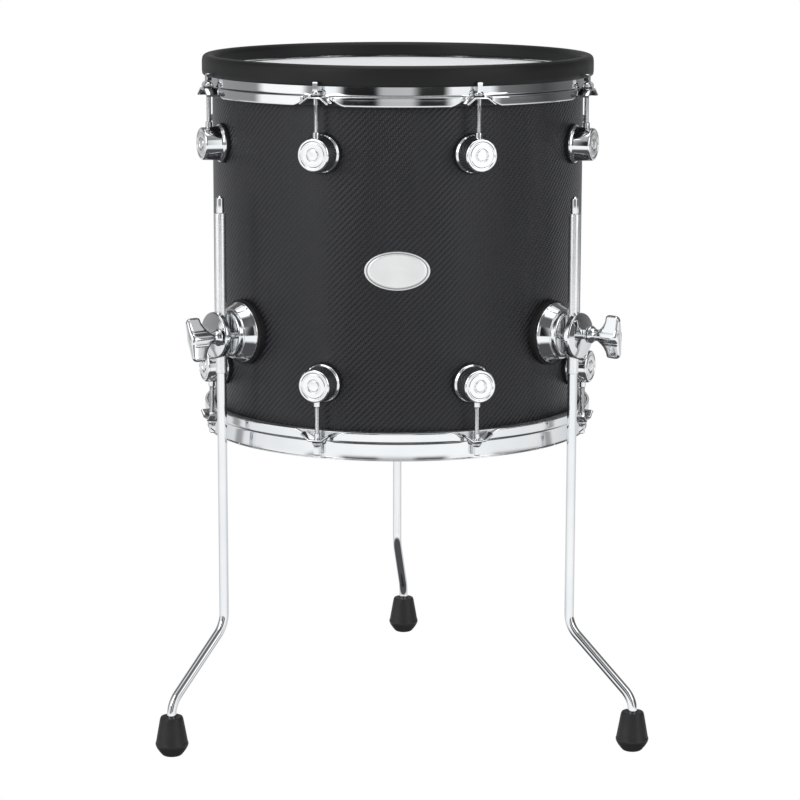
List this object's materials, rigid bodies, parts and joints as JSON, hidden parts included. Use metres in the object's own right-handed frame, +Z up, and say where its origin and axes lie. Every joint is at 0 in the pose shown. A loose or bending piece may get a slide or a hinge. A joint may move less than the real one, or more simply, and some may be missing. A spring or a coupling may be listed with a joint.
{
  "type": "tom tom drum",
  "caption": "Floor-standing tom drum: wrapped shell with a mesh head under a rubber-covered hoop, round lugs with tension rods, and bent legs that slide and swivel in clamp brackets.",
  "frame": {"origin": "on the floor under the middle of the whole object's box; the drum's upright axis stands 6.1 mm to -X and 47.4 mm to -Y of it, because the feet reach further back and right", "axes": "+Z up along the drum's axis, -Y out of the front where the badge is, +X to the right seen from the front"},
  "size_m": [0.465, 0.4738, 0.6462],
  "materials": {
    "shell_wood": "clear sealed birch-like ply inside",
    "wrap": "embossed twill plastic wrap, soft sheen",
    "badge": "satin oval with a bright rim, blank",
    "rim_rubber": "matt moulded rubber",
    "head_mesh": "tightly woven white mesh",
    "head_film": "smooth black film",
    "aluminium": "mill finish",
    "gasket": "matt",
    "nylon": "matt",
    "foot_rubber": "matt moulded rubber",
    "knurled_steel": "fine diamond knurl, satin chrome",
    "zinc_steel": "zinc plated",
    "sensor_brass": "satin",
    "foam": "dense foam rubber",
    "jack_plastic": "fine grain",
    "jack_metal": "nickel plated",
    "cable_sheath": "smooth sheath",
    "chrome": "bright chrome plate"
  },
  "bodies": {
    "drum": {"shell": "shell_wood", "shell_wrap": "wrap", "badge_plate": "badge", "top_hoop": "chrome", "rim_cover": "rim_rubber", "batter_head": "head_mesh", "batter_head_ring": "aluminium", "bottom_hoop": "chrome", "resonant_head": "head_film", "resonant_head_ring": "aluminium", "top_lugs": "chrome", "bottom_lugs": "chrome", "lug_gaskets": "gasket", "swivel_nuts": "chrome", "lug_screws": "zinc_steel", "lug_screw_washers": "zinc_steel", "rod_washers_steel": "zinc_steel", "rod_washers_nylon": "nylon", "leg_brackets": "chrome", "bracket_gaskets": "gasket", "bracket_screws": "zinc_steel", "clamp_studs": "zinc_steel", "trigger_beam": "aluminium", "trigger_sensor": "sensor_brass", "trigger_cone": "foam", "jack_plate": "jack_plastic", "jack_screws": "zinc_steel", "output_jack": "jack_metal", "trigger_cable": "cable_sheath"},
    "top_rod_1": {"top_rod_1": "chrome"},
    "top_rod_2": {"top_rod_2": "chrome"},
    "top_rod_3": {"top_rod_3": "chrome"},
    "top_rod_4": {"top_rod_4": "chrome"},
    "top_rod_5": {"top_rod_5": "chrome"},
    "top_rod_6": {"top_rod_6": "chrome"},
    "top_rod_7": {"top_rod_7": "chrome"},
    "top_rod_8": {"top_rod_8": "chrome"},
    "bottom_rod_1": {"bottom_rod_1": "chrome"},
    "bottom_rod_2": {"bottom_rod_2": "chrome"},
    "bottom_rod_3": {"bottom_rod_3": "chrome"},
    "bottom_rod_4": {"bottom_rod_4": "chrome"},
    "bottom_rod_5": {"bottom_rod_5": "chrome"},
    "bottom_rod_6": {"bottom_rod_6": "chrome"},
    "bottom_rod_7": {"bottom_rod_7": "chrome"},
    "bottom_rod_8": {"bottom_rod_8": "chrome"},
    "left_clamp_cap": {"left_clamp_cap": "chrome"},
    "left_wing_knob": {"left_wing_knob": "chrome"},
    "left_leg_sleeve": {"left_leg_sleeve": "knurled_steel"},
    "left_leg": {"left_leg_rod": "chrome", "left_foot": "foot_rubber"},
    "right_clamp_cap": {"right_clamp_cap": "chrome"},
    "right_wing_knob": {"right_wing_knob": "chrome"},
    "right_leg_sleeve": {"right_leg_sleeve": "knurled_steel"},
    "right_leg": {"right_leg_rod": "chrome", "right_foot": "foot_rubber"},
    "rear_clamp_cap": {"rear_clamp_cap": "chrome"},
    "rear_wing_knob": {"rear_wing_knob": "chrome"},
    "rear_leg_sleeve": {"rear_leg_sleeve": "knurled_steel"},
    "rear_leg": {"rear_leg_rod": "chrome", "rear_foot": "foot_rubber"}
  },
  "joints": [
    {"name": "top_rod_1_turn", "type": "hinge", "parent": "drum", "child": "top_rod_1", "pos_m": [0.06696, -0.22382, 0.6], "axis": [0, 0, 1], "continuous": true},
    {"name": "top_rod_2_turn", "type": "hinge", "parent": "drum", "child": "top_rod_2", "pos_m": [0.17033, -0.12045, 0.6], "axis": [0, 0, 1], "continuous": true},
    {"name": "top_rod_3_turn", "type": "hinge", "parent": "drum", "child": "top_rod_3", "pos_m": [0.17033, 0.02573, 0.6], "axis": [0, 0, 1], "continuous": true},
    {"name": "top_rod_4_turn", "type": "hinge", "parent": "drum", "child": "top_rod_4", "pos_m": [0.06696, 0.1291, 0.6], "axis": [0, 0, 1], "continuous": true},
    {"name": "top_rod_5_turn", "type": "hinge", "parent": "drum", "child": "top_rod_5", "pos_m": [-0.07922, 0.1291, 0.6], "axis": [0, 0, 1], "continuous": true},
    {"name": "top_rod_6_turn", "type": "hinge", "parent": "drum", "child": "top_rod_6", "pos_m": [-0.18259, 0.02573, 0.6], "axis": [0, 0, 1], "continuous": true},
    {"name": "top_rod_7_turn", "type": "hinge", "parent": "drum", "child": "top_rod_7", "pos_m": [-0.18259, -0.12045, 0.6], "axis": [0, 0, 1], "continuous": true},
    {"name": "top_rod_8_turn", "type": "hinge", "parent": "drum", "child": "top_rod_8", "pos_m": [-0.07922, -0.22382, 0.6], "axis": [0, 0, 1], "continuous": true},
    {"name": "bottom_rod_1_turn", "type": "hinge", "parent": "drum", "child": "bottom_rod_1", "pos_m": [0.06696, -0.22382, 0.322], "axis": [0, 0, 1], "continuous": true},
    {"name": "bottom_rod_2_turn", "type": "hinge", "parent": "drum", "child": "bottom_rod_2", "pos_m": [0.17033, -0.12045, 0.322], "axis": [0, 0, 1], "continuous": true},
    {"name": "bottom_rod_3_turn", "type": "hinge", "parent": "drum", "child": "bottom_rod_3", "pos_m": [0.17033, 0.02573, 0.322], "axis": [0, 0, 1], "continuous": true},
    {"name": "bottom_rod_4_turn", "type": "hinge", "parent": "drum", "child": "bottom_rod_4", "pos_m": [0.06696, 0.1291, 0.322], "axis": [0, 0, 1], "continuous": true},
    {"name": "bottom_rod_5_turn", "type": "hinge", "parent": "drum", "child": "bottom_rod_5", "pos_m": [-0.07922, 0.1291, 0.322], "axis": [0, 0, 1], "continuous": true},
    {"name": "bottom_rod_6_turn", "type": "hinge", "parent": "drum", "child": "bottom_rod_6", "pos_m": [-0.18259, 0.02573, 0.322], "axis": [0, 0, 1], "continuous": true},
    {"name": "bottom_rod_7_turn", "type": "hinge", "parent": "drum", "child": "bottom_rod_7", "pos_m": [-0.18259, -0.12045, 0.322], "axis": [0, 0, 1], "continuous": true},
    {"name": "bottom_rod_8_turn", "type": "hinge", "parent": "drum", "child": "bottom_rod_8", "pos_m": [-0.07922, -0.22382, 0.322], "axis": [0, 0, 1], "continuous": true},
    {"name": "left_leg_slide", "type": "slide", "parent": "drum", "child": "left_leg_sleeve", "axis": [0, 0, 1], "range_m": [-0.085, 0.014]},
    {"name": "left_leg_swivel", "type": "hinge", "parent": "left_leg_sleeve", "child": "left_leg", "pos_m": [-0.16972, -0.16974, 0.3], "axis": [0, 0, 1], "continuous": true},
    {"name": "left_clamp_slide", "type": "slide", "parent": "drum", "child": "left_clamp_cap", "axis": [-0.8007, -0.599, 0], "range_m": [0, 0.002]},
    {"name": "left_knob_turn", "type": "hinge", "parent": "left_clamp_cap", "child": "left_wing_knob", "pos_m": [-0.18251, -0.19555, 0.3935], "axis": [-0.8007, -0.599, 0], "range_deg": [0, 720]},
    {"name": "right_leg_slide", "type": "slide", "parent": "drum", "child": "right_leg_sleeve", "axis": [0, 0, 1], "range_m": [-0.085, 0.014]},
    {"name": "right_leg_swivel", "type": "hinge", "parent": "right_leg_sleeve", "child": "right_leg", "pos_m": [0.15746, -0.16974, 0.3], "axis": [0, 0, 1], "continuous": true},
    {"name": "right_clamp_slide", "type": "slide", "parent": "drum", "child": "right_clamp_cap", "axis": [0.8007, -0.599, 0], "range_m": [0, 0.002]},
    {"name": "right_knob_turn", "type": "hinge", "parent": "right_clamp_cap", "child": "right_wing_knob", "pos_m": [0.18583, -0.17473, 0.3935], "axis": [0.8007, -0.599, 0], "range_deg": [0, 720]},
    {"name": "rear_leg_slide", "type": "slide", "parent": "drum", "child": "rear_leg_sleeve", "axis": [0, 0, 1], "range_m": [-0.085, 0.014]},
    {"name": "rear_leg_swivel", "type": "hinge", "parent": "rear_leg_sleeve", "child": "rear_leg", "pos_m": [-0.00613, 0.15694, 0.3], "axis": [0, 0, 1], "continuous": true},
    {"name": "rear_clamp_slide", "type": "slide", "parent": "drum", "child": "rear_clamp_cap", "axis": [0, 1, 0], "range_m": [0, 0.002]},
    {"name": "rear_knob_turn", "type": "hinge", "parent": "rear_clamp_cap", "child": "rear_wing_knob", "pos_m": [-0.01913, 0.18264, 0.3935], "axis": [0, 1, 0], "range_deg": [0, 720]}
  ],
  "couplings": [
    {"joint": "left_knob_turn", "follows": "left_clamp_slide", "rad_per_m": 6283},
    {"joint": "right_knob_turn", "follows": "right_clamp_slide", "rad_per_m": 6283},
    {"joint": "rear_knob_turn", "follows": "rear_clamp_slide", "rad_per_m": 6283}
  ]
}
